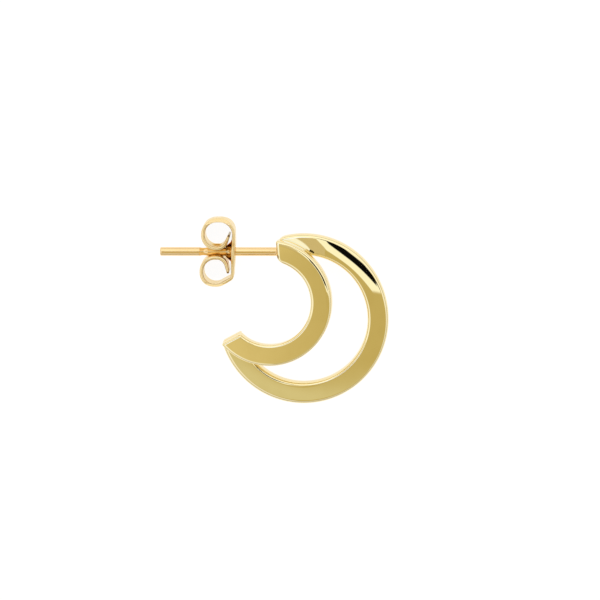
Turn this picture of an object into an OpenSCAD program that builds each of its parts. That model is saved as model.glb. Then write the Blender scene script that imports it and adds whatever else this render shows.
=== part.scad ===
// Double hoop earring of polished yellow gold, with a post and a butterfly clutch.
// It lies on its side: the larger row rests flat on z = 0 and the smaller row is on top.
// +X points away from the ear, -X along the post to its tip, +Y up as the earring is worn.
// The origin is at the bottom centre of the whole earring's box.

/* [Hoop rows] */
// Middle radius of the smaller row, which lies on top
small_r = 4.60; // [4.45:0.05:4.75]
// Middle radius of the larger row, which lies underneath
large_r = 6.60; // [6.45:0.05:6.75]
// Distance from the smaller row's centre to the larger row's centre
centre_gap = 3.36; // [3.28:0.02:3.44]
// Direction of the larger row's centre, below horizontal
crescent_dip = 27.5; // [24:0.5:32]
// Thickness of a row, measured along its radius
row_thick = 1.84; // [1.66:0.02:1.90]
// Width of a row, measured across the hoop
row_width = 2.00; // [1.80:0.05:2.00]
// Radius of a row's polished edges
edge_r = 0.26; // [0.15:0.01:0.40]
// Angle at which the two rows spread apart from their tips
row_spread = 3.0; // [1.0:0.5:4.0]
// Depth to which the rows are sunk into each other at the soldered tips
solder_depth = 0.15; // [0.10:0.01:0.20]

/* [Hoop tips] */
// Distance from the crossing of the two rows to the cut end of each tip
tip_inset = 0.12; // [0.08:0.02:0.40]
// Direction of the cut across the upper tip
upper_cut = 95; // [90:1:100]
// Direction of the cut across the lower tip
lower_cut = 208; // [204:1:214]

/* [Ear post] */
// Diameter of the post
post_d = 0.76; // [0.70:0.02:0.82]
// Length of the post from the upper tip to its free end
post_length = 10.38; // [10.00:0.02:11.00]
// Height of the post above the smaller row's centre
post_rise = 4.46; // [4.20:0.02:4.60]
// Radius of the rounded edge at the free end
post_end_r = 0.12; // [0.05:0.01:0.20]
// Distance from the free end to the start of the shallow friction groove
groove_from_end = 3.50; // [3.40:0.05:3.55]
// Length of the friction groove
groove_length = 0.70; // [0.60:0.05:0.80]
// Depth of the friction groove at its middle
groove_depth = 0.05; // [0.03:0.01:0.08]

/* [Butterfly clutch] */
// Thickness of the sheet metal
sheet = 0.32; // [0.28:0.01:0.36]
// Width of the plate, across the hoop
clutch_width = 3.80; // [3.40:0.10:3.80]
// Radius of the rounded outline of the wings, around the post
wing_round = 3.25; // [3.20:0.05:3.60]
// Distance from the post's free end to the middle of the plate
clutch_place = 6.50; // [6.30:0.05:6.80]
// Reach of the scrolls from the plate, to the middle of the sheet
scroll_reach = 2.70; // [2.60:0.02:2.80]
// Height of the scrolls above and below the post, to the middle of the sheet
scroll_rise = 2.88; // [2.88:0.02:3.00]
// Distance from the post's axis to the sheet where the scrolls press on it
scroll_press = 0.40; // [0.38:0.01:0.44]
// Bend radius of the scrolls, at the middle of the sheet
scroll_bend = 1.20; // [1.05:0.05:1.20]
// Distance from the plate to the free ends of the scrolls
end_tuck = 0.38; // [0.36:0.01:0.50]
// Height of the free ends above and below the post
end_rise = 1.72; // [1.50:0.02:1.80]
// Length of the plate below the post, down to its sharp bend
plate_drop = 2.20; // [2.10:0.02:2.30]
// Radial clearance between the clutch and the post
slide_clearance = 0.03; // [0.02:0.01:0.05]
// Angle by which the bent sheet leans away from square with the post
sheet_lean = 1.7; // [0:0.1:2.5]
// Radius of the pressed collar where it leaves the plate
collar_r = 1.10; // [0.90:0.05:1.15]
// Length of the pressed collar
collar_length = 0.66; // [0.50:0.02:0.70]

/* [Hidden] */
$fn = 96;
little = 0.01;
bend_steps = 10;

// Unit direction at an angle
function toward(angle) = [cos(angle), sin(angle)];

// Places, seen from the smaller row's centre
crescent_dir = toward(-crescent_dip);
across_dir = toward(90 - crescent_dip);
large_centre = centre_gap * crescent_dir;
tip_back = (centre_gap^2 + small_r^2 - large_r^2) / (2 * centre_gap);
tip_side = sqrt(small_r^2 - tip_back^2);
upper_tip = tip_back * crescent_dir + tip_side * across_dir;
lower_tip = tip_back * crescent_dir - tip_side * across_dir;
seam_z = row_width - solder_depth;
arc_overrun = 16;
cutter = 6;

// The post leaves the upper tip's cut end, halfway through the two rows
upper_end = upper_tip + tip_inset * toward(upper_cut - 90);
post_z = row_width;
post_root_x = upper_end.x + (post_rise - upper_end.y) / tan(upper_cut);
post_tip_x = post_root_x - post_length;
post_sunk = 1.0;

// The clutch on the post
plate_x = post_tip_x + clutch_place;
bore_r = post_d / 2 + slide_clearance;
collar_wall = 0.12;
funnel_r = 0.72;
through = 4 * scroll_reach;

// The whole earring's box, which sets the origin
box_right = large_centre.x + large_r + row_thick / 2;
box_top = post_rise + scroll_rise + sheet / 2;
box_bottom = large_centre.y - large_r - row_thick / 2;
origin_shift = [-(box_right + post_tip_x) / 2, -(box_top + box_bottom) / 2, 0];

// The clutch's bends: how far the free ends lean, and how the lower scroll differs from the upper one
upper_end_lean = 0.45;
upper_end_bend = 0.85;
lower_end_lean = 0.35;
lower_end_bend = 0.90;
plate_bend = 0.35;
slope_run = 1.15;
slope_bend = 1.00;
lower_extra = 0.04;
lower_drop = 0.06;

// Corners of the clutch's sheet from the upper free end to the lower one.
// Columns: along the post from the plate, up from the post's axis, bend radius.
SHEET_BENDS = [
    [-end_tuck, end_rise, 0],
    [-end_tuck - upper_end_lean, scroll_press, upper_end_bend],
    [-scroll_reach, scroll_press, scroll_bend],
    [-scroll_reach, scroll_rise, scroll_bend],
    [0, scroll_rise, scroll_bend],
    [0, -plate_drop, plate_bend],
    [-slope_run, -scroll_rise, slope_bend],
    [-scroll_reach - lower_extra, -scroll_rise, scroll_bend - lower_extra],
    [-scroll_reach - lower_extra, -scroll_press, scroll_bend],
    [-end_tuck - lower_end_lean, -scroll_press, lower_end_bend],
    [-end_tuck, -end_rise - lower_drop, 0],
];

// Direction from one point to another
function heading(from, to) = (to - from) / norm(to - from);

// Points of one bend, each with its direction to the left of the sheet's run
function bend_run(before, corner, after, r) =
    let (
        back = heading(corner, before),
        ahead = heading(corner, after),
        half = acos(back * ahead) / 2,
        centre = corner + heading([0, 0], back + ahead) * r / sin(half),
        start = corner + back * r / tan(half) - centre,
        side = sign(cross(-back, ahead)),
        first = atan2(start.y, start.x),
        turn = side * (180 - 2 * half)
    )
    [for (i = [0:bend_steps])
        let (a = first + turn * i / bend_steps, out = [cos(a), sin(a)])
        [centre + r * out, -side * out]];

// An end of the sheet, with its direction to the left of the sheet's run
function end_run(at, run) = [[at, [-run.y, run.x]]];

// The sheet's middle line through a table of bends, leaning over
function sheet_run(bends) =
    let (
        last = len(bends) - 1,
        at = [for (b = bends) [b[0] + b[1] * tan(sheet_lean), b[1]]]
    )
    concat(
        end_run(at[0], heading(at[0], at[1])),
        [for (i = [1:last - 1]) each bend_run(at[i - 1], at[i], at[i + 1], bends[i][2])],
        end_run(at[last], heading(at[last - 1], at[last]))
    );

// Rounded section of a row, from the hoop's axis outwards and from z = 0 up
module row_section(r) {
    left = r - row_thick / 2;
    translate([left + edge_r, 0]) square([row_thick - 2 * edge_r, row_width]);
    translate([left, edge_r]) square([row_thick, row_width - 2 * edge_r]);
    for (x = [left + edge_r, left + row_thick - edge_r], y = [edge_r, row_width - edge_r])
        translate([x, y]) circle(edge_r);
}

// One row as an open ring between two directions
module row_arc(r, from, to) {
    rotate([0, 0, from]) rotate_extrude(angle = to - from) row_section(r);
}

// Bearing of one place from another
function bearing(from, to) = atan2(to.y - from.y, to.x - from.x);

// One row about its centre, as an open ring that runs a little past both tips
module row_ring(centre, r) {
    from = bearing(centre, lower_tip) - arc_overrun;
    to = bearing(centre, upper_tip) + arc_overrun;
    translate([centre.x, centre.y, 0]) row_arc(r, from, to);
}

// The smaller row, spread upwards about the line through both tips
module small_row() {
    translate([lower_tip.x, lower_tip.y, seam_z])
        rotate([0, 0, -crescent_dip])
            rotate([0, -row_spread, 0])
                rotate([0, 0, crescent_dip])
                    translate([-lower_tip.x, -lower_tip.y, 0])
                        row_ring([0, 0], small_r);
}

// The larger row, flat on z = 0
module large_row() {
    row_ring(large_centre, large_r);
}

// Everything past the cut end of a tip, where inward is the direction from the cut into the rows
module past_cut(tip, inward) {
    translate([tip.x, tip.y, -cutter / 2])
        rotate([0, 0, inward])
            translate([tip_inset - cutter, -cutter / 2, 0]) cube([cutter, cutter, 2 * cutter]);
}

// Both rows, cut straight across at their soldered tips
module hoop_rows() {
    difference() {
        union() {
            small_row();
            large_row();
        }
        past_cut(upper_tip, upper_cut - 90);
        past_cut(lower_tip, lower_cut + 90);
    }
}

// Half section of the post along its axis, from its free end
module post_section() {
    r = post_d / 2;
    groove_mid = groove_from_end + groove_length / 2;
    groove_r = (groove_length^2 / 4 + groove_depth^2) / (2 * groove_depth);
    difference() {
        union() {
            translate([0, post_end_r]) square([r, post_length + post_sunk - post_end_r]);
            square([r - post_end_r, post_end_r + little]);
            translate([r - post_end_r, post_end_r]) circle(post_end_r);
        }
        translate([r - groove_depth + groove_r, groove_mid]) circle(groove_r);
    }
}

// The post, soldered into the upper tip
module ear_post() {
    translate([post_tip_x, post_rise, post_z])
        rotate([0, 90, 0])
            rotate_extrude() post_section();
}

// The hoop with its post, one soldered piece
module double_hoop() {
    color([0.80, 0.69, 0.38])
        translate(origin_shift)
            union() {
                hoop_rows();
                ear_post();
            }
}

// The bent sheet of the clutch, before its hole is made
module clutch_sheet() {
    run = sheet_run(SHEET_BENDS);
    left_side = [for (p = run) p[0] + p[1] * sheet / 2];
    right_side = [for (i = [len(run) - 1:-1:0]) run[i][0] - run[i][1] * sheet / 2];
    intersection() {
        translate([0, 0, -clutch_width / 2])
            linear_extrude(clutch_width) polygon(concat(left_side, right_side));
        rotate([0, 90, 0]) cylinder(h = through, r = wing_round, center = true);
    }
}

// A cone about the post's axis, from the plate towards the scrolls
module cone_from_plate(start, length, wide_r, narrow_r) {
    translate([start, 0, 0]) rotate([0, -90, 0]) cylinder(h = length, r1 = wide_r, r2 = narrow_r);
}

// The butterfly clutch: its collar, the funnel that leads the post in, and the channel that it runs in
module butterfly_clutch() {
    color([0.93, 0.76, 0.48])
        translate(origin_shift + [plate_x, post_rise, post_z])
            difference() {
                union() {
                    clutch_sheet();
                    cone_from_plate(0, collar_length, collar_r, bore_r + collar_wall);
                }
                cone_from_plate(sheet / 2 + little, collar_length, funnel_r, bore_r - little);
                rotate([0, 90, 0]) cylinder(h = through, r = bore_r, center = true);
            }
}

double_hoop();
butterfly_clutch();
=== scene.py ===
"""A double hoop earring of polished gold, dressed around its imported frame.

It lies on its side on a pale floor inside a white light tent, and the camera looks down on
it. Fields hold millimetres and degrees, and meshes hold metres.
"""

import logging
import math
from dataclasses import dataclass, field, replace
from enum import Enum
from functools import cached_property
from typing import Callable, Dict, List, Mapping, Optional, Sequence, Tuple, Union

import bpy
from mathutils import Matrix, Vector


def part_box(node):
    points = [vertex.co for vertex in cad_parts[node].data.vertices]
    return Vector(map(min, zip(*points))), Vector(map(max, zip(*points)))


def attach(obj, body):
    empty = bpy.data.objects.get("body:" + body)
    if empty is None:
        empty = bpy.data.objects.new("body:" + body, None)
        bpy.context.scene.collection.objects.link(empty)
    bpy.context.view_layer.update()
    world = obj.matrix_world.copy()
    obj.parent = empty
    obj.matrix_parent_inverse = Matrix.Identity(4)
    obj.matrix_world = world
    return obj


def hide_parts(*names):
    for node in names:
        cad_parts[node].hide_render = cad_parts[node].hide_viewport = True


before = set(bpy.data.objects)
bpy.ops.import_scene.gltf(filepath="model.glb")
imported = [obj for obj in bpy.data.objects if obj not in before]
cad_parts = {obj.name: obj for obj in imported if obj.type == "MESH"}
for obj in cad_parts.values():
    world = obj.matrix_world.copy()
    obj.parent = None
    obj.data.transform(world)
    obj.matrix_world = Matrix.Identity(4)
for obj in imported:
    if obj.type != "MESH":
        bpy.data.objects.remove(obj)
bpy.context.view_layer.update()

MM = 0.001
PHOTO_SIZE = 600
LOG = logging.getLogger("earring")

Colour = Tuple[float, float, float]
Pair = Tuple[float, float]
Ring = List[Vector]
Step = Tuple[Vector, Vector]


class Body(Enum):
    """The two bodies that move against each other."""

    HOOP = "hoop"
    CLUTCH = "clutch"


class Node(Enum):
    """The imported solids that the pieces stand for."""

    HOOP = "double_hoop"
    CLUTCH = "butterfly_clutch"


class Slot(Enum):
    """The material slots."""

    HOOP_GOLD = "hoop_gold"
    CLUTCH_GOLD = "clutch_gold"


class Tip(Enum):
    """The two soldered ends of the hoop, with the sign of the way round to each."""

    UPPER = 1
    LOWER = -1


class ShadeAndSolder(Enum):
    """Colours of painted shade in crevices, recesses and on the sheet's free ends, and of the
    solder at the joint.
    """

    RECESS_SHADE = (0.80, 0.48, 0.16)
    JOINT = (0.36, 0.24, 0.06)
    LOWER_END_SHADE = (0.36, 0.20, 0.05)
    UPPER_END_SHADE = (0.16, 0.08, 0.01)
    CREVICE_SHADE = (0.03, 0.02, 0.0)


class Glow(Enum):
    """Colours of the light tent's cards, which the polished faces mirror."""

    COOL_WHITE = (1.08, 1.16, 1.30)
    BLUE_WHITE = (1.08, 1.36, 2.4)
    WHITE = (1.08, 1.14, 1.14)
    CREAM = (0.78, 0.69, 0.40)
    DULL_CREAM = (0.70, 0.665, 0.44)
    LIGHT_TAN = (0.68, 0.575, 0.275)
    GREY_TAN = (0.655, 0.575, 0.36)
    TAN = (0.58, 0.49, 0.222)
    BROWN_BLACK = (0.03, 0.025, 0.01)
    BLACK = (0.004, 0.004, 0.004)


def toward(angle: float) -> Vector:
    """Unit direction in the floor's plane at an angle in degrees."""
    return Vector((math.cos(math.radians(angle)), math.sin(math.radians(angle)), 0.0))


def bearing(start: Vector, end: Vector) -> float:
    """Direction from one place to another, in degrees."""
    return math.degrees(math.atan2(end.y - start.y, end.x - start.x))


def wrapped(angle: float) -> float:
    """The same angle between -180 and 180 degrees."""
    return (angle + 180) % 360 - 180


def ease(low: float, high: float, value: float) -> float:
    """Smooth step from 0 at low to 1 at high."""
    t = min(1.0, max(0.0, (value - low) / (high - low)))
    return t * t * (3.0 - 2.0 * t)


def between(first: float, last: float, share: float) -> float:
    """Value a share of the way from first to last."""
    return first + (last - first) * share


def turns(count: int) -> List[float]:
    """Angles in radians that divide a full turn."""
    return [math.tau * i / count for i in range(count)]


class Socket:
    """A node's output, on which arithmetic adds Math nodes."""

    def __init__(self, graph: "Graph", link: Optional[bpy.types.NodeSocket]) -> None:
        """Keeps the graph that holds the output, and the output itself."""
        self.graph = graph
        self.link = link

    def _math(self, operation: str, first: "Value", second: "Value" = 0.0) -> "Socket":
        """One Math node on two values."""
        return self.graph.node("ShaderNodeMath", {"operation": operation}, {0: first, 1: second})

    def __add__(self, other: "Value") -> "Socket":
        """Sum."""
        return self._math("ADD", self, other)

    def __radd__(self, other: "Value") -> "Socket":
        """Sum with a number on the left."""
        return self._math("ADD", other, self)

    def __sub__(self, other: "Value") -> "Socket":
        """Difference."""
        return self._math("SUBTRACT", self, other)

    def __rsub__(self, other: "Value") -> "Socket":
        """Difference from a number on the left."""
        return self._math("SUBTRACT", other, self)

    def __mul__(self, other: "Value") -> "Socket":
        """Product."""
        return self._math("MULTIPLY", self, other)

    def __rmul__(self, other: "Value") -> "Socket":
        """Product with a number on the left."""
        return self._math("MULTIPLY", other, self)

    def step(self, low: float, high: float) -> "Socket":
        """Smooth step from 0 at low to 1 at high.

        Args:
            low: value at which the step starts.
            high: value at which it is full.

        Returns:
            The step, from 0 to 1.
        """
        settings = {"interpolation_type": "SMOOTHSTEP", "clamp": True}
        return self.graph.node("ShaderNodeMapRange", settings, {0: self, 1: low, 2: high})


Value = Union[Socket, float]
Input = Union[Socket, float, Sequence[float]]


class Graph:
    """A node tree that is built by calls and expressions.

    A Mix node has a set of sockets for each type, and these numbers are the colour's.
    """

    MIX_INPUTS = (0, 6, 7)
    MIX_RESULT = 2

    def __init__(self, tree: bpy.types.NodeTree) -> None:
        """Empties the tree."""
        self.tree = tree
        tree.nodes.clear()

    def node(self, kind: str, settings: Mapping[str, object],
             inputs: Mapping[Union[int, str], Input], output: Union[int, str] = 0) -> Socket:
        """Adds any node.

        Args:
            kind: Blender's name for the type of node.
            settings: its own settings.
            inputs: a value or a link for each socket that is set, by number or name.
            output: the output that is wanted.

        Returns:
            That output, ready for arithmetic.
        """
        made = self.tree.nodes.new(kind)
        for name, setting in settings.items():
            setattr(made, name, setting)
        for name, value in inputs.items():
            if isinstance(value, Socket):
                self.tree.links.new(value.link, made.inputs[name])
            else:
                made.inputs[name].default_value = value
        outlet = made.outputs[output] if len(made.outputs) else None
        return Socket(self, outlet)

    def mix(self, factor: Value, first: Input, second: Input) -> Socket:
        """Mixes two colours.

        Args:
            factor: share of the second colour.
            first: colour or link.
            second: colour or link.

        Returns:
            The mixed colour.
        """
        settings = {"data_type": "RGBA", "clamp_factor": True}
        inputs = dict(zip(self.MIX_INPUTS, (factor, first, second)))
        return self.node("ShaderNodeMix", settings, inputs, self.MIX_RESULT)

    def axis(self, vector: Socket, name: str) -> Socket:
        """The part of a vector along X, Y or Z."""
        return self.node("ShaderNodeSeparateXYZ", {}, {0: vector}, name)

    def surface(self, inputs: Mapping[Union[int, str], Input]) -> None:
        """Ends a material with its shader."""
        shader = self.node("ShaderNodeBsdfPrincipled", {}, inputs)
        self.node("ShaderNodeOutputMaterial", {}, {"Surface": shader})


def new_material(name: str) -> Tuple[bpy.types.Material, Graph]:
    """Makes a material without nodes.

    Args:
        name: the material's name.

    Returns:
        The material, and the graph that takes its nodes.
    """
    made = bpy.data.materials.new(name)
    made.use_nodes = True
    return made, Graph(made.node_tree)


@dataclass(frozen=True)
class DarkSpot:
    """Painted shade, or a solder joint's own colour, round a line along Z, full in its core and
    gone at its reach.
    """

    x: float
    y: float
    reach: float
    shade_and_solder: ShadeAndSolder = ShadeAndSolder.RECESS_SHADE
    core_share: float = 0.2

    def mask(self, graph: Graph, place: Socket) -> Socket:
        """Where the spot lies.

        Args:
            graph: the finish's nodes.
            place: the place in the object's own space.

        Returns:
            1 on the spot and 0 off it.
        """
        along = graph.axis(place, "X") * (1 / MM) - self.x
        up = graph.axis(place, "Y") * (1 / MM) - self.y
        away = along * along + up * up
        return 1 - away.step(self.core_share * self.reach**2, self.reach**2)


@dataclass(frozen=True)
class PolishedGold:
    """Gold polished to a mirror, with faint patches, hairlines and a soft waviness."""

    name: str
    colour: Colour
    patch_colour: Colour
    roughness: float = 0.02
    roughness_spread: float = 0.015
    patch_size: float = 1.6
    patch_detail: float = 3.0
    patch_limits: Pair = (0.35, 0.65)
    wave_size: float = 1.1
    wave_detail: float = 1.0
    wave_height: float = 0.0003
    hairline_size: float = 0.05
    hairline_detail: float = 2.0
    hairline_squeeze: Tuple[float, float, float] = (1.0, 6.0, 3.0)
    hairline_height: float = 0.000005
    grazing: Colour = (0.95, 0.86, 0.62)
    dark_spots: Tuple[DarkSpot, ...] = ()

    def material(self) -> bpy.types.Material:
        """Builds the finish.

        Returns:
            The material, made of noise in the object's own space.
        """
        made, graph = new_material(self.name)
        place = graph.node("ShaderNodeTexCoord", {}, {}, "Object")
        lumps = self._noise(graph, place, self.patch_size, self.patch_detail)
        patches = lumps.step(*self.patch_limits)
        waves = self._noise(graph, place, self.wave_size, self.wave_detail)
        squeeze = {"Vector": place, "Scale": self.hairline_squeeze}
        streaked = graph.node("ShaderNodeMapping", {}, squeeze)
        hairlines = self._noise(graph, streaked, self.hairline_size, self.hairline_detail)
        wavy = self._bump(graph, waves, self.wave_height)
        normal = self._bump(graph, hairlines, self.hairline_height, wavy)
        rough = self.roughness + self.roughness_spread * hairlines * patches
        colour = graph.mix(patches, (*self.colour, 1.0), (*self.patch_colour, 1.0))
        # Darker spots: painted shade in crevices and recesses, and the solder joint's own colour.
        for dark_spot in self.dark_spots:
            colour = graph.mix(dark_spot.mask(graph, place), colour, (*dark_spot.shade_and_solder.value, 1.0))
        graph.surface({"Base Color": colour, "Metallic": 1.0, "Roughness": rough,
                       "Normal": normal, "Specular Tint": (*self.grazing, 1.0)})
        return made

    @staticmethod
    def _noise(graph: Graph, place: Socket, size: float, detail: float) -> Socket:
        """Noise whose lumps have a size in millimetres."""
        inputs = {"Vector": place, "Scale": 1.0 / (size * MM), "Detail": detail}
        return graph.node("ShaderNodeTexNoise", {}, inputs)

    @staticmethod
    def _bump(graph: Graph, height: Socket, reach: float,
              under: Optional[Socket] = None) -> Socket:
        """Bumps the surface.

        Args:
            graph: the finish's nodes.
            height: the relief, from 0 to 1.
            reach: its height in millimetres.
            under: a bump that this one lies on.

        Returns:
            The normal.
        """
        inputs: Dict[Union[int, str], Input] = {"Height": height, "Distance": reach * MM}
        if under is not None:
            inputs["Normal"] = under
        return graph.node("ShaderNodeBump", {}, inputs)


@dataclass(frozen=True)
class PaleFloor:
    """Matt white floor, which glows a little as a light table does."""

    name: str = "pale_floor"
    colour: Colour = (0.10, 0.10, 0.10)
    roughness: float = 0.6
    glow: float = 0.94

    def material(self) -> bpy.types.Material:
        """Builds the finish.

        Returns:
            The material.
        """
        made, graph = new_material(self.name)
        graph.surface({"Base Color": (*self.colour, 1.0), "Roughness": self.roughness,
                       "Emission Color": (1.0, 1.0, 1.0, 1.0), "Emission Strength": self.glow})
        return made


HOOP_GOLD = PolishedGold("polished_yellow_gold", (0.94, 0.80, 0.46), (0.92, 0.78, 0.44))
POST_GOLD = PolishedGold("drawn_warm_gold", (0.95, 0.69, 0.35), (0.93, 0.66, 0.33),
                         roughness=0.10, roughness_spread=0.10, wave_height=0.0002,
                         hairline_height=0.00001)
SHEET_GOLD = PolishedGold("tumbled_warm_gold", (0.93, 0.73, 0.40), (0.91, 0.71, 0.38),
                          roughness=0.17, roughness_spread=0.12, wave_height=0.0003,
                          hairline_height=0.00001)


@dataclass(frozen=True)
class Dress:
    """What a finished piece is dressed in, and what it stands for."""

    body: Body
    node: Node
    slot: Slot
    finish: PolishedGold

    def spotted(self, dark_spots: Tuple[DarkSpot, ...]) -> "Dress":
        """The same dress, with darker spots on its finish: painted shade, and a solder joint's
        colour.
        """
        return replace(self, finish=replace(self.finish, dark_spots=dark_spots))

    def put_on(self, piece: bpy.types.Object) -> bpy.types.Object:
        """Gives a piece its finish and body, and hides the solid that it stands for.

        Args:
            piece: the finished mesh, in its place.

        Returns:
            The same piece.
        """
        known = bpy.data.materials.get(self.finish.name)
        piece.data.materials.append(known or self.finish.material())
        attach(piece, self.body.value)
        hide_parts(self.node.value)
        return piece


def placed(name: str, data: Union[bpy.types.Mesh, bpy.types.Camera]) -> bpy.types.Object:
    """Puts a mesh or a camera into the scene.

    Args:
        name: the object's name.
        data: its mesh or camera.

    Returns:
        The object.
    """
    made = bpy.data.objects.new(name, data)
    bpy.context.scene.collection.objects.link(made)
    return made


def loft(name: str, rings: Sequence[Ring], looped: bool = False) -> bpy.types.Object:
    """Skins rings of the same count into a smooth closed mesh.

    Args:
        name: the object's name.
        rings: closed rings of points in millimetres, in order.
        looped: whether the last ring joins the first, with no end caps.

    Returns:
        The object, in the scene.
    """
    count = len(rings[0])
    points = [tuple(point * MM) for ring in rings for point in ring]
    faces: List[Tuple[int, ...]] = []
    spans = len(rings) if looped else len(rings) - 1
    for i in range(spans):
        here, there = i * count, (i + 1) % len(rings) * count
        for j in range(count):
            k = (j + 1) % count
            faces.append((here + j, here + k, there + k, there + j))
    if not looped:
        faces.append(tuple(reversed(range(count))))
        faces.append(tuple(range(len(points) - count, len(points))))
    mesh = bpy.data.meshes.new(name)
    mesh.from_pydata(points, [], faces)
    mesh.shade_smooth()
    return placed(name, mesh)


@dataclass(frozen=True)
class Section:
    """A point of a row's section, from its middle radius and its underside."""

    out: float
    height: float


@dataclass
class Layout:
    """Sizes that the pieces share, and places that follow from them and the frame."""

    small_r: float = 4.60
    large_r: float = 6.60
    centre_gap: float = 3.36
    crescent_dip: float = 27.5
    row_thick: float = 1.84
    row_width: float = 2.00
    row_spread: float = 3.0
    solder_depth: float = 0.15
    tip_inset: float = 0.12
    upper_cut: float = 95.0
    lower_cut: float = 208.0
    sheet: float = 0.32
    clutch_place: float = 6.50

    @cached_property
    def large_centre(self) -> Vector:
        """Finds the larger row.

        Returns:
            Its centre, from the hoop's box.
        """
        low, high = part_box(Node.HOOP.value)
        reach = self.large_r + self.row_thick / 2
        return Vector((high.x / MM - reach, low.y / MM + reach, 0.0))

    @cached_property
    def small_centre(self) -> Vector:
        """Centre of the smaller row."""
        return self.large_centre - self.centre_gap * toward(-self.crescent_dip)

    @cached_property
    def tips(self) -> Dict[Tip, Vector]:
        """Finds the two tips.

        Returns:
            The crossings of the rows' middle circles.
        """
        along = (self.centre_gap**2 + self.small_r**2 - self.large_r**2) / (2 * self.centre_gap)
        aside = math.sqrt(self.small_r**2 - along**2) * toward(90 - self.crescent_dip)
        middle = self.small_centre + along * toward(-self.crescent_dip)
        return {tip: middle + tip.value * aside for tip in Tip}

    @cached_property
    def large_angles(self) -> Dict[Tip, float]:
        """Directions of the tips from the larger row's centre, in degrees."""
        return {tip: bearing(self.large_centre, place) for tip, place in self.tips.items()}

    @cached_property
    def small_angles(self) -> Dict[Tip, float]:
        """Directions of the tips from the smaller row's centre, in degrees."""
        return {tip: bearing(self.small_centre, place) for tip, place in self.tips.items()}

    def inward(self, tip: Tip) -> Vector:
        """Direction from a tip's cut into the rows, square to the cut."""
        return toward(self.upper_cut - 90 if tip is Tip.UPPER else self.lower_cut + 90)

    def cut(self, tip: Tip) -> Vector:
        """Place of a tip's cut."""
        return self.tips[tip] + self.tip_inset * self.inward(tip)

    @cached_property
    def post_axis(self) -> Vector:
        """Finds the clutch's place on the post.

        Returns:
            Where the post's axis meets the clutch's plate.
        """
        low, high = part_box(Node.CLUTCH.value)
        return Vector((self.post_tip_x + self.clutch_place, (low.y + high.y) / MM / 2,
                       (low.z + high.z) / MM / 2))

    @cached_property
    def post_tip_x(self) -> float:
        """Free end of the post."""
        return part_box(Node.HOOP.value)[0].x / MM


Relief = Callable[[float, Section], float]


@dataclass(frozen=True)
class Roll:
    """A stretch where polishing has rolled a near face off towards one of its edges."""

    peak: float
    before: float
    after: float
    height: float

    def amount(self, angle: float) -> float:
        """How much the face rolls off.

        Args:
            angle: way round the row's centre, in degrees.

        Returns:
            The height at the peak, falling smoothly to 0 at both sides' reach.
        """
        away = wrapped(angle - self.peak)
        share = abs(away) / (self.after if away > 0 else self.before)
        return self.height * math.cos(math.pi / 2 * share)**2 if share < 1 else 0.0


def bevelled(past: float, ramp: float) -> float:
    """How far a face falls past the start of a bevel, for each radian of its tilt.

    Args:
        past: distance past the start.
        ramp: distance over which the tilt comes in.

    Returns:
        The fall, which is 0 before the start.
    """
    past = max(past, 0.0)
    bend = min(past, ramp)
    return bend**2 / (2 * ramp) + past - bend


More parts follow.
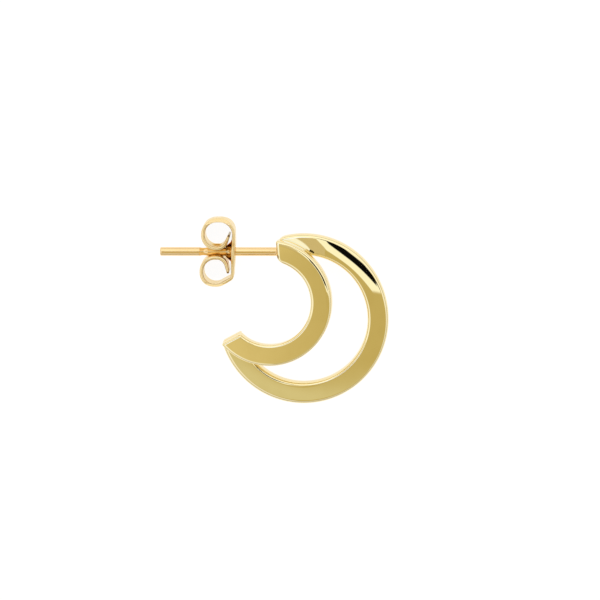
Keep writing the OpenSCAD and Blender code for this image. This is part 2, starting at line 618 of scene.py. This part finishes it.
@dataclass
class Row:
    """One open row of the hoop: a rectangular bar with soft edges, bent round.

    At a tip that plan_round names, the end's corners are rounded in plan, by one radius at
    the inner wall and another at the outer.
    """

    name: str
    layout: Layout
    centre: Vector
    radius: float
    placing: Matrix
    relief: Relief
    edge: float = 0.26
    least_edge: float = 0.05
    end_soft: float = 0.19
    plan_round: Dict[Tip, Pair] = field(default_factory=dict)
    corner_steps: int = 9
    flat_steps: int = 28
    side_steps: int = 6
    sweep_steps: int = 300
    end_steps: int = 7

    def section(self, trim: float) -> List[Section]:
        """Outline of the bar, from the underside's inner corner and round outwards.

        Args:
            trim: what the end's softness takes off all round.

        Returns:
            The points, as many for any trim.
        """
        right = self.layout.row_thick / 2 - trim
        low, high = trim, self.layout.row_width - trim
        soft = max(self.edge - trim, self.least_edge)
        middles = [(soft - right, low + soft), (right - soft, low + soft),
                   (right - soft, high - soft), (soft - right, high - soft)]
        corners: List[List[Section]] = []
        for number, (x, z) in enumerate(middles):
            spokes = [toward(180 + 90 * (number + i / self.corner_steps)) * soft
                      for i in range(self.corner_steps + 1)]
            corners.append([Section(x + spoke.x, z + spoke.y) for spoke in spokes])
        points: List[Section] = []
        for number, corner in enumerate(corners):
            start, end = corner[-1], corners[(number + 1) % len(corners)][0]
            steps = self.flat_steps if number % 2 == 0 else self.side_steps
            points += corner
            points += [Section(between(start.out, end.out, i / steps),
                               between(start.height, end.height, i / steps))
                       for i in range(1, steps)]
        return points

    def end_angle(self, tip: Tip, at: Section, depth: float) -> float:
        """Way round to a plane beside a tip's cut.

        Args:
            tip: which end.
            at: the point of the section that is carried round.
            depth: distance from the cut into the row.

        Returns:
            The angle about the row's centre, in radians.
        """
        inward = self.layout.inward(tip)
        facing = self.placing.to_3x3().transposed() @ inward
        level = Vector((facing.x, facing.y, 0.0))
        start = self.placing @ Vector((self.centre.x, self.centre.y, at.height))
        reach = depth - inward.dot(start - self.layout.cut(tip))
        cosine = reach / ((self.radius + at.out) * level.length)
        return math.atan2(level.y, level.x) + tip.value * math.acos(cosine)

    def point(self, angle: float, at: Section) -> Vector:
        """Point of the row.

        Args:
            angle: way round the row's centre, in radians.
            at: point of the section.

        Returns:
            The point in the model's frame.
        """
        r = self.radius + at.out
        height = at.height + self.relief(math.degrees(angle), at)
        spoke = Vector((r * math.cos(angle), r * math.sin(angle), height))
        return self.placing @ (self.centre + spoke)

    def depth(self, tip: Tip, at: Section, soft: float) -> float:
        """Distance from a tip's cut, with the corners that are rounded in plan.

        Args:
            tip: which end.
            at: the point of the section.
            soft: what the end's softness leaves.

        Returns:
            The depth into the row.
        """
        inner, outer = self.plan_round.get(tip, (0.0, 0.0))
        half = self.layout.row_thick / 2
        depth = soft
        for r, gap in ((inner, at.out + half), (outer, half - at.out)):
            if gap < r:
                depth += r - math.sqrt(r**2 - (r - gap)**2)
        return depth

    def end_rings(self, tip: Tip) -> List[Ring]:
        """Rounds one end over.

        Args:
            tip: which end.

        Returns:
            The rings from the row to its cut.
        """
        rings: List[Ring] = []
        for i in range(1, self.end_steps + 1):
            turn = math.radians(90 * i / self.end_steps)
            left = self.end_soft * (1 - math.sin(turn))
            outline = self.section(self.end_soft * (1 - math.cos(turn)))
            rings.append([self.point(self.end_angle(tip, at, self.depth(tip, at, left)), at)
                          for at in outline])
        return rings

    def build(self) -> bpy.types.Object:
        """Sweeps the section from the lower tip to the upper one.

        Returns:
            The row, not dressed.
        """
        outline = self.section(0.0)
        ends = [[self.end_angle(tip, at, self.depth(tip, at, self.end_soft)) for at in outline]
                for tip in (Tip.LOWER, Tip.UPPER)]
        rings = list(reversed(self.end_rings(Tip.LOWER)))
        for i in range(self.sweep_steps + 1):
            share = i / self.sweep_steps
            rings.append([self.point(between(low, high, share), at)
                          for low, high, at in zip(*ends, outline)])
        rings.extend(self.end_rings(Tip.UPPER))
        return loft(self.name, rings)


@dataclass
class HoopRows:
    """The two rows, soldered to each other at both tips.

    The rolls tilt the larger row's near face outwards, by up to roll_rate radians for each
    millimetre past the radius roll_start. The small roll is a narrow bevel outwards on the
    smaller row, and the inner roll one inwards on the larger.
    """

    layout: Layout
    dress: Dress = Dress(Body.HOOP, Node.HOOP, Slot.HOOP_GOLD, HOOP_GOLD)
    rolls: Tuple[Roll, ...] = (Roll(52.0, 95.0, 64.0, 1.0), Roll(-110.0, 95.0, 100.0, 0.20))
    roll_start: float = 5.36
    roll_rate: float = 0.1075
    fall_from: float = 72.4
    fall: float = 0.37
    fall_power: float = 1.5
    small_roll: Roll = Roll(22.0, 28.0, 80.0, 0.20)
    small_roll_start: float = 5.165
    inner_roll: Roll = Roll(236.0, 56.0, 56.0, 0.20)
    inner_roll_start: float = 6.09
    bevel_ramp: float = 0.05
    small_grown: float = 0.045
    small_edge: float = 0.22
    small_tip_round: float = 0.45
    large_tip_round: float = 0.70
    near_limits: Pair = (0.35, 0.85)
    joint_reach: float = 0.45
    joint_turn: float = 22.0
    # The first three paint shade into the crotch between the rows near the upper tip; the last
    # gives the solder joint below the post's root its own colour.
    dark_spots: Tuple[DarkSpot, ...] = (
        DarkSpot(3.20, 5.32, 0.13, ShadeAndSolder.CREVICE_SHADE), DarkSpot(3.33, 5.25, 0.13, ShadeAndSolder.CREVICE_SHADE),
        DarkSpot(3.45, 5.17, 0.11, ShadeAndSolder.CREVICE_SHADE), DarkSpot(0.24, 4.93, 0.26, ShadeAndSolder.JOINT),
    )

    def build(self) -> List[bpy.types.Object]:
        """Builds and dresses both rows.

        Returns:
            The smaller row, then the larger one.
        """
        lay = self.layout
        dress = self.dress.spotted(self.dark_spots)
        small = Row("inner_row", lay, lay.small_centre, lay.small_r + self.small_grown,
                    self._spread(), self.small_relief, self.small_edge,
                    plan_round={Tip.UPPER: (self.small_tip_round, 0.0)})
        large = Row("outer_row", lay, lay.large_centre, lay.large_r, Matrix.Identity(4),
                    self.large_relief, plan_round={Tip.UPPER: (0.0, self.large_tip_round)})
        return [dress.put_on(row.build()) for row in (small, large)]

    def _spread(self) -> Matrix:
        """Lays the smaller row on the larger one, tilted about the line through the tips.

        Returns:
            The placing of the smaller row.
        """
        lay = self.layout
        hinge = lay.tips[Tip.LOWER] + Vector((0.0, 0.0, lay.row_width - lay.solder_depth))
        turn = Matrix.Rotation(math.radians(-lay.row_spread), 4, toward(90 - lay.crescent_dip))
        return (Matrix.Translation(hinge) @ turn
                @ Matrix.Translation(-Vector((hinge.x, hinge.y, 0.0))))

    def _nearness(self, at: Section) -> float:
        """How much a point belongs to the near face, from 0 at the underside to 1."""
        return ease(*self.near_limits, at.height / self.layout.row_width)

    def small_relief(self, angle: float, at: Section) -> float:
        """Rise of the smaller row's surface.

        Args:
            angle: way round the row's centre, in degrees.
            at: point of the section.

        Returns:
            The rise, which is negative where the near face has a narrow bevel outwards, and
            where the underside reaches into the solder at the tips.
        """
        turn = wrapped(angle)
        near = self._nearness(at)
        ends = self.layout.small_angles
        gap = min(turn - ends[Tip.LOWER], ends[Tip.UPPER] - turn)
        joint = self.joint_reach * (1 - ease(0.0, self.joint_turn, gap)) * (1 - near)
        radius = self.layout.small_r + self.small_grown + at.out
        fall = bevelled(radius - self.small_roll_start, self.bevel_ramp)
        return -joint - near * self.small_roll.amount(angle) * fall

    def large_relief(self, angle: float, at: Section) -> float:
        """Rise of the larger row's surface.

        Args:
            angle: way round the row's centre, in degrees.
            at: point of the section.

        Returns:
            The rise, which is negative where the near face rolls off outwards, has a
            narrow bevel inwards and falls away to the upper tip.
        """
        lay = self.layout
        turn = wrapped(angle)
        near = self._nearness(at)
        r = lay.large_r + at.out
        inner = lay.large_r - lay.row_thick / 2 - self.roll_start
        swell = sum(roll.amount(angle) for roll in self.rolls)
        roll = swell * self.roll_rate / 2 * ((r - self.roll_start)**2 - inner**2)
        span = lay.large_angles[Tip.UPPER] - self.fall_from
        late = max(0.0, turn - self.fall_from) / span
        lip = bevelled(self.inner_roll_start - r, self.bevel_ramp)
        fall = self.fall * late**self.fall_power
        return -near * (roll + fall + self.inner_roll.amount(angle) * lip)


@dataclass
class EarPost:
    """The straight wire that goes through the ear, soldered to the upper tip."""

    layout: Layout
    dress: Dress = Dress(Body.HOOP, Node.HOOP, Slot.CLUTCH_GOLD, POST_GOLD)
    radius: float = 0.38
    end_soft: float = 0.12
    groove_at: float = 3.85
    groove_length: float = 0.70
    groove_depth: float = 0.05
    solder_r: float = 0.14
    sunk: float = 0.5
    sides: int = 72
    steps: int = 220
    end_steps: int = 10

    def profile(self, along: float, length: float) -> float:
        """Radius at a distance from the free end.

        Args:
            along: distance from the free end.
            length: the post's length to where it meets the hoop.

        Returns:
            The radius, with the rounded end, the groove and the solder's flare.
        """
        r = self.radius
        if along < self.end_soft:
            back = self.end_soft - along
            r -= self.end_soft - math.sqrt(self.end_soft**2 - back**2)
        offset = abs(along - self.groove_at) / (self.groove_length / 2)
        if offset < 1:
            r -= self.groove_depth * (1 - offset**2)
        near = (along - length + self.solder_r) / self.solder_r
        if near > 0:
            r += self.solder_r * (1 - math.sqrt(1 - near**2))
        return r

    def build(self) -> List[bpy.types.Object]:
        """Turns the post about its axis.

        Returns:
            The post, alone.
        """
        lay = self.layout
        axis = lay.post_axis
        cut = lay.cut(Tip.UPPER)
        inward = lay.inward(Tip.UPPER)
        root_x = cut.x - (axis.y - cut.y) * inward.y / inward.x
        length = root_x - lay.post_tip_x
        fine = self.end_steps
        places = [self.end_soft * (1 - math.cos(math.radians(90 * i / fine))) for i in range(fine)]
        places += [between(self.end_soft, length - self.solder_r, i / self.steps)
                   for i in range(self.steps)]
        places += [between(length - self.solder_r, length, i / fine) for i in range(fine + 1)]
        places.append(length + self.sunk)
        rings = []
        for along in places:
            r = self.profile(min(along, length), length)
            x = lay.post_tip_x + along
            rings.append([Vector((x, axis.y + r * math.cos(a), axis.z + r * math.sin(a)))
                          for a in turns(self.sides)])
        return [self.dress.put_on(loft("ear_post", rings))]


@dataclass(frozen=True)
class Bend:
    """A corner of the clutch's sheet: its place beside the post's axis, and its radius."""

    along: float
    up: float
    radius: float


@dataclass
class ButterflyClutch:
    """The sliding clutch: one sheet rolled into two scrolls, with a pressed collar.

    A step of the sheet's run is a place beside the post's axis, with the direction to its
    left. The collar's section has six stretches, from the mouth to the brim. A stretch is a
    row of points, each by how far it lies along the post and out from it, measured from a
    corner that _outline gives.
    """

    layout: Layout
    dress: Dress = Dress(Body.CLUTCH, Node.CLUTCH, Slot.CLUTCH_GOLD, SHEET_GOLD)
    width: float = 3.80
    wing_round: float = 3.25
    reach: float = 2.70
    rise: float = 2.88
    press: float = 0.40
    bend: float = 1.20
    end_tuck: float = 0.38
    end_rise: float = 1.60
    upper_end_lean: float = 0.45
    upper_end_bend: float = 0.85
    lower_end_lean: float = 0.35
    lower_end_bend: float = 0.90
    sheet_lean: float = 1.7
    plate_drop: float = 2.20
    plate_bend: float = 0.35
    slope_run: float = 1.15
    slope_bend: float = 1.00
    lower_extra: float = 0.04
    lower_drop: float = 0.18
    edge: float = 0.13
    least_flat: float = 0.005
    end_edge: float = 0.07
    taper: float = 0.35
    taper_length: float = 1.0
    bore_r: float = 0.41
    collar_r: float = 1.10
    collar_wall: float = 0.12
    collar_end: float = -0.68
    funnel_r: float = 0.72
    mouth: Tuple[Pair, ...] = ((-0.02, 0.14), (0.0, 0.08), (-0.01, 0.02), (-0.05, -0.05),
                               (-0.12, -0.12), (-0.22, -0.20))
    throat: Tuple[Pair, ...] = ((-0.02, 0.03),)
    lip_inside: Tuple[Pair, ...] = ((0.06, 0.0), (0.01, 0.02), (0.0, 0.06))
    lip_outside: Tuple[Pair, ...] = ((0.01, -0.02), (0.05, 0.0), (0.10, 0.04))
    flange: Tuple[Pair, ...] = ((-0.08, -0.22), (-0.02, -0.06), (0.02, 0.0), (0.10, 0.0))
    brim: Tuple[Pair, ...] = ((-0.06, 0.16),)
    hole_gap: float = 0.03
    hole_limits: Pair = (-0.3, 0.4)
    # Painted shade: in the recesses above and below the collar, and at the sheet's two free ends.
    shade_behind: float = 0.16
    upper_shade: Pair = (0.80, 0.48)
    lower_shade: Pair = (-0.72, 0.38)
    end_shade_past: float = 0.02
    end_shade_reach: float = 0.24
    arc_step: float = 5.0
    least_arc_steps: int = 3
    run_step: float = 0.08
    across_steps: int = 56
    edge_steps: int = 4
    sides: int = 72

    def bends(self) -> List[Bend]:
        """Lists the corners of the sheet.

        Returns:
            The corners from the upper free end to the lower one, before the sheet leans.
        """
        low_reach = self.reach + self.lower_extra
        upper_x = self.end_tuck + self.upper_end_lean
        lower_x = self.end_tuck + self.lower_end_lean
        return [
            Bend(-self.end_tuck, self.end_rise, 0.0),
            Bend(-upper_x, self.press, self.upper_end_bend),
            Bend(-self.reach, self.press, self.bend),
            Bend(-self.reach, self.rise, self.bend),
            Bend(0.0, self.rise, self.bend),
            Bend(0.0, -self.plate_drop, self.plate_bend),
            Bend(-self.slope_run, -self.rise, self.slope_bend),
            Bend(-low_reach, -self.rise, self.bend - self.lower_extra),
            Bend(-low_reach, -self.press, self.bend),
            Bend(-lower_x, -self.press, self.lower_end_bend),
            Bend(-self.end_tuck, -self.end_rise - self.lower_drop, 0.0),
        ]

    def _lean(self) -> float:
        """How far the sheet leans along the post for each millimetre up."""
        return math.tan(math.radians(self.sheet_lean))

    def run(self) -> List[Step]:
        """Draws the middle line of the sheet.

        Returns:
            The steps along it.
        """
        bends = self.bends()
        lean = self._lean()
        at = [Vector((bend.along + bend.up * lean, bend.up, 0.0)) for bend in bends]
        first = (at[1] - at[0]).normalized()
        last = (at[-1] - at[-2]).normalized()
        line = [(at[0], Vector((-first.y, first.x, 0.0)))]
        for i in range(1, len(bends) - 1):
            line.extend(self._arc(at[i - 1], at[i], at[i + 1], bends[i].radius))
        line.append((at[-1], Vector((-last.y, last.x, 0.0))))
        return self._filled(line)

    def _arc(self, before: Vector, corner: Vector, after: Vector, radius: float) -> List[Step]:
        """Rounds one corner of the sheet.

        Args:
            before: the corner before it.
            corner: the corner itself.
            after: the corner after it.
            radius: radius of the sheet's middle line.

        Returns:
            The steps round the bend.
        """
        back = (before - corner).normalized()
        ahead = (after - corner).normalized()
        half = back.angle(ahead) / 2
        centre = corner + (back + ahead).normalized() * radius / math.sin(half)
        start = corner + back * radius / math.tan(half) - centre
        side = math.copysign(1.0, (-back).cross(ahead).z)
        turn = math.degrees(math.pi - 2 * half)
        steps = max(self.least_arc_steps, round(turn / self.arc_step))
        first = math.degrees(math.atan2(start.y, start.x))
        places = []
        for i in range(steps + 1):
            out = toward(first + side * turn * i / steps)
            places.append((centre + radius * out, -side * out))
        return places

    def _filled(self, line: List[Step]) -> List[Step]:
        """Divides the run's straight stretches.

        Args:
            line: the steps at the bends and the free ends.

        Returns:
            The same run, with more steps.
        """
        filled = [line[0]]
        for (a, left_a), (b, left_b) in zip(line, line[1:]):
            steps = max(1, round((b - a).length / self.run_step))
            for i in range(1, steps + 1):
                share = i / steps
                filled.append((a.lerp(b, share), left_a.lerp(left_b, share).normalized()))
        return filled

    def ring(self, place: Vector, left: Vector, trim: float) -> Ring:
        """Section of the sheet at one place.

        Args:
            place: place of the sheet's middle, beside the post's axis.
            left: direction to the left of the run.
            trim: what the end's softness takes off all round.

        Returns:
            The section's points in the model's frame.
        """
        half = self.layout.sheet / 2 * self._thinned(place) - trim
        soft = min(half - self.least_flat, self.edge - trim)
        points: Ring = []
        for side in (1, -1):
            for i in range(self.across_steps + 1):
                share = side * (1 - 2 * i / self.across_steps)
                points.append(self._seat(place, left, side * half, share, trim + soft, 0.0))
            for i in range(1, self.edge_steps * 2):
                turn = math.radians(90 * i / self.edge_steps)
                face = side if i <= self.edge_steps else -side
                aside = face * (half - soft + soft * abs(math.cos(turn)))
                points.append(self._seat(place, left, aside, -side, trim + soft,
                                         soft * math.sin(turn)))
        return points

    def _thinned(self, place: Vector) -> float:
        """Thins the sheet towards its free ends.

        Args:
            place: place of the sheet's middle, beside the post's axis.

        Returns:
            The share of the sheet's thickness that is left there.
        """
        lean = self._lean()
        ends = [Vector((up * lean - self.end_tuck, up, 0.0))
                for up in (self.end_rise, -self.end_rise - self.lower_drop)]
        gap = min((place - end).length for end in ends)
        return 1 - self.taper * (1 - ease(0.0, self.taper_length, gap))

    def _seat(self, place: Vector, left: Vector, aside: float, share: float, inset: float,
              out: float) -> Vector:
        """Sets one point of the sheet, inside the wings' outline and outside the channel.

        Args:
            place: place of the sheet's middle, beside the post's axis.
            left: direction to the left of the run.
            aside: how far the point lies to the left.
            share: how far it lies across, from -1 at one edge to 1 at the other.
            inset: what the edge's rounding takes off the half width.
            out: how far the point stands out in that rounding.

        Returns:
            The point in the model's frame.
        """
        at = place + left * aside
        wing = math.sqrt(self.wing_round**2 - at.y**2)
        half_width = min(self.width / 2, wing) - inset
        z = share * half_width + math.copysign(out, share)
        y = at.y
        plate = -self.layout.sheet < place.x < self.layout.sheet
        if not plate and abs(place.y) < self.bore_r * 2:
            y += math.copysign(self._dent(abs(place.y) - self.layout.sheet / 2, z), place.y)
        return self.layout.post_axis + Vector((at.x, y, z))

    def _dent(self, gap: float, z: float) -> float:
        """How far the post's channel pushes the sheet, at a gap and a distance across."""
        return max(0.0, math.sqrt(max(0.0, self.bore_r**2 - z**2)) - gap)

    def sheet(self) -> bpy.types.Object:
        """Rolls the sheet and cuts the hole for its collar.

        Returns:
            The sheet, not dressed.
        """
        line = self.run()
        first, last = line[0][0], line[-1][0]
        middle = [self.ring(place, left, 0.0) for place, left in line[1:-1]
                  if min((place - first).length, (place - last).length) > self.edge]
        rings = self._end(line[0], 1)[::-1] + middle + self._end(line[-1], -1)
        return self._pierced(loft("clutch_sheet", rings))

    def _end(self, step: Step, way: int) -> List[Ring]:
        """Rounds one free end of the sheet.

        Args:
            step: the end's step of the run.
            way: 1 where the run starts, and -1 where it ends.

        Returns:
            The rings from the sheet to the end's face.
        """
        place, left = step
        soft = self.end_edge
        run = Vector((left.y, -left.x, 0.0)) * way
        rings = []
        for i in range(self.edge_steps + 1):
            turn = math.radians(90 * i / self.edge_steps)
            spot = place + run * soft * (1 - math.sin(turn))
            rings.append(self.ring(spot, left, soft * (1 - math.cos(turn))))
        return rings

    def _pierced(self, sheet: bpy.types.Object) -> bpy.types.Object:
        """Cuts the collar's hole through the plate.

        Args:
            sheet: the rolled sheet.

        Returns:
            The same sheet.
        """
        axis = self.layout.post_axis
        r = self.funnel_r + self.hole_gap
        hole = [[axis + Vector((x, r * math.cos(a), r * math.sin(a))) for a in turns(self.sides)]
                for x in self.hole_limits]
        cutter = loft("hole", hole)
        cut = sheet.modifiers.new("hole", "BOOLEAN")
        cut.operation = "DIFFERENCE"
        cut.solver = "EXACT"
        cut.object = cutter
        state = bpy.context.evaluated_depsgraph_get()
        pierced = bpy.data.meshes.new_from_object(sheet.evaluated_get(state))
        sheet.modifiers.clear()
        sheet.data = pierced
        bpy.data.objects.remove(cutter)
        pierced.shade_smooth()
        return sheet

    def _outline(self) -> List[Pair]:
        """Draws the collar's section, in through its bore and back outside.

        Returns:
            The points, each by its place along the post and its radius.
        """
        half = self.layout.sheet / 2
        stretches = [
            (half, self.funnel_r, self.mouth),
            (-half, self.bore_r, self.throat),
            (self.collar_end, self.bore_r, self.lip_inside),
            (self.collar_end, self.bore_r + self.collar_wall, self.lip_outside),
            (-half, self.collar_r, self.flange),
            (half, self.funnel_r, self.brim),
        ]
        return [(x + along, r + out) for x, r, stretch in stretches for along, out in stretch]

    def collar(self) -> bpy.types.Object:
        """Presses the collar: a funnel in front, narrowing to a thin lip behind.

        Returns:
            The collar, not dressed.
        """
        axis = self.layout.post_axis
        outline = self._outline()
        rings = [[axis + Vector((x, r * math.cos(a), r * math.sin(a))) for x, r in outline]
                 for a in turns(self.sides)]
        return loft("clutch_collar", rings, looped=True)

    def dark_spots(self) -> Tuple[DarkSpot, ...]:
        """Paints shade into the recesses above and below the collar, and onto the two free ends.

        Returns:
            The four spots of painted shade.
        """
        axis = self.layout.post_axis
        behind = -self.layout.sheet / 2 - self.shade_behind
        end_x, end_y = self.end_rise * self._lean(), self.end_rise
        spots = [
            (behind, *self.upper_shade, ShadeAndSolder.RECESS_SHADE),
            (behind, *self.lower_shade, ShadeAndSolder.RECESS_SHADE),
            # Painted shade on the sheet's two free ends, where they tuck in beside the plate.
            (end_x - self.end_tuck, end_y + self.end_shade_past,
             self.end_shade_reach, ShadeAndSolder.UPPER_END_SHADE),
            (-end_x - self.end_tuck, -end_y - self.lower_drop - self.end_shade_past,
             self.end_shade_reach, ShadeAndSolder.LOWER_END_SHADE),
        ]
        return tuple(DarkSpot(axis.x + x, axis.y + y, reach, shade_and_solder)
                     for x, y, reach, shade_and_solder in spots)

    def build(self) -> List[bpy.types.Object]:
        """Builds and dresses the clutch.

        Returns:
            The sheet and its collar.
        """
        dress = self.dress.spotted(self.dark_spots())
        return [dress.put_on(piece) for piece in (self.sheet(), self.collar())]


@dataclass(frozen=True)
class Card:
    """A panel of the light tent, seen from the floor as a patch round the zenith.

    Along is measured from the way that the flat faces look, in the card's direction, and
    across at right angles to it, to the left. Both are in parts of a unit direction.
    """

    facing: float
    along: Pair
    across: Pair
    glow: Glow
    soft: float = 0.006

    def mask(self, right: Socket, up: Socket) -> Socket:
        """Where the card covers the tent.

        Args:
            right: distance to the right of the way that the flat faces look.
            up: distance up from it.

        Returns:
            1 on the card and 0 off it.
        """
        way = toward(self.facing)
        ahead = right * way.x + up * way.y
        aside = up * way.x - right * way.y
        return self._band(ahead, self.along) * self._band(aside, self.across)

    def _band(self, place: Socket, limits: Pair) -> Socket:
        """Makes a band with soft edges.

        Args:
            place: where a point lies.
            limits: the band's two edges.

        Returns:
            1 between the edges and 0 outside them.
        """
        low, high = limits
        rising = place.step(low - self.soft, low + self.soft)
        falling = place.step(high - self.soft, high + self.soft)
        return rising * (1 - falling)


@dataclass
class Studio:
    """The floor, the light tent and the camera.

    A card hangs in front of those that are listed before it. The camera is raised from
    straight above towards the top of the view, and turned to the right.
    """

    layout: Layout
    floor_size: float = 1600.0
    floor_gap: float = 0.002
    raised: float = 5.5
    turned: float = 1.0
    distance: float = 450.0
    pixels_per_mm: float = 11.33
    small_centre_pixel: Pair = (269.5, 303.9)
    near_face: float = 4.0
    flat_look: Pair = (-0.017, -0.096)
    tent_glow: float = 1.03
    tent_up: float = 0.32
    tent_left: float = 0.08
    horizon_dim: float = 0.60
    horizon_limits: Pair = (0.10, 0.60)
    cards: Tuple[Card, ...] = (
        Card(10.0, (-0.125, 0.42), (-0.55, 0.20), Glow.TAN, 0.008),
        Card(10.0, (-0.110, -0.080), (0.0735, 0.14), Glow.LIGHT_TAN, 0.0018),
        Card(250.0, (0.035, 0.13), (-0.15, 0.15), Glow.DULL_CREAM, 0.04),
        Card(190.0, (0.09, 0.20), (-0.20, -0.01), Glow.CREAM, 0.02),
        Card(170.0, (-0.02, 0.60), (-0.50, -0.078), Glow.GREY_TAN, 0.012),
        Card(170.0, (0.136, 0.30), (-0.16, 0.16), Glow.COOL_WHITE, 0.004),
        Card(52.0, (-0.05, 0.25), (0.180, 0.32), Glow.BLUE_WHITE),
        Card(52.0, (0.19, 0.39), (-0.30, 0.50), Glow.WHITE),
        Card(52.0, (0.29, 0.39), (-0.118, 0.22), Glow.BLACK),
        Card(52.0, (0.315, 0.40), (-0.185, -0.112), Glow.BROWN_BLACK, 0.004),
        Card(-64.0, (0.0, 0.50), (0.12, 0.42), Glow.TAN),
    )

    def floor(self) -> None:
        """Lays the floor under the earring."""
        half = self.floor_size / 2
        corners = [(-half, -half), (half, -half), (half, half), (-half, half)]
        mesh = bpy.data.meshes.new("floor")
        mesh.from_pydata([(x * MM, y * MM, -self.floor_gap * MM) for x, y in corners], [],
                         [(0, 1, 2, 3)])
        mesh.materials.append(PaleFloor().material())
        made = placed("floor", mesh)

    def light(self) -> None:
        """Lights the scene with a white tent and the cards that hang in it."""
        world = bpy.data.worlds.new("light_tent")
        bpy.context.scene.world = world
        world.use_nodes = True
        graph = Graph(world.node_tree)
        way = graph.node("ShaderNodeTexCoord", {}, {}, "Generated")
        right = graph.axis(way, "X") - self.flat_look[0]
        up = graph.axis(way, "Y") - self.flat_look[1]
        height = graph.axis(way, "Z")
        tent = self.tent_glow + self.tent_up * up - self.tent_left * right
        tent = tent * (1 - self.horizon_dim * (1 - height.step(*self.horizon_limits)))
        glow = graph.node("ShaderNodeCombineXYZ", {}, {0: tent, 1: tent, 2: tent})
        for card in self.cards:
            glow = graph.mix(card.mask(right, up), glow, (*card.glow.value, 1.0))
        lamp = graph.node("ShaderNodeBackground", {}, {"Color": glow, "Strength": 1.0})
        graph.node("ShaderNodeOutputWorld", {}, {"Surface": lamp})

    def camera(self) -> None:
        """Sets the camera where the photograph was taken from."""
        raised, turned = math.radians(self.raised), math.radians(self.turned)
        back = Vector((math.sin(turned) * math.cos(raised), math.sin(raised),
                       math.cos(turned) * math.cos(raised)))
        right = Vector((0.0, 1.0, 0.0)).cross(back).normalized()
        up = back.cross(right)
        aside, below = ((PHOTO_SIZE / 2 - pixel) / self.pixels_per_mm
                        for pixel in self.small_centre_pixel)
        target = self.layout.small_centre + Vector((0.0, 0.0, self.near_face))
        target = target + right * aside - up * below
        data = bpy.data.cameras.new("camera")
        seen = PHOTO_SIZE / self.pixels_per_mm
        data.lens = data.sensor_width * self.distance / seen
        made = placed("camera", data)
        turn = Matrix((right, up, back)).transposed().to_4x4()
        made.matrix_world = Matrix.Translation((target + back * self.distance) * MM) @ turn
        bpy.context.scene.camera = made

    def build(self) -> None:
        """Sets the stage."""
        self.camera()
        self.floor()
        self.light()
        bpy.context.scene.view_settings.view_transform = "Standard"


def main() -> None:
    """Builds the stage and the earring."""
    logging.basicConfig(level=logging.INFO, format="%(name)s: %(message)s")
    layout = Layout()
    Studio(layout).build()
    for group in (HoopRows(layout), EarPost(layout), ButterflyClutch(layout)):
        for piece in group.build():
            LOG.info("%s %s: %d faces", type(group).__name__, piece.name,
                     len(piece.data.polygons))


if __name__ == "__main__":
    main()
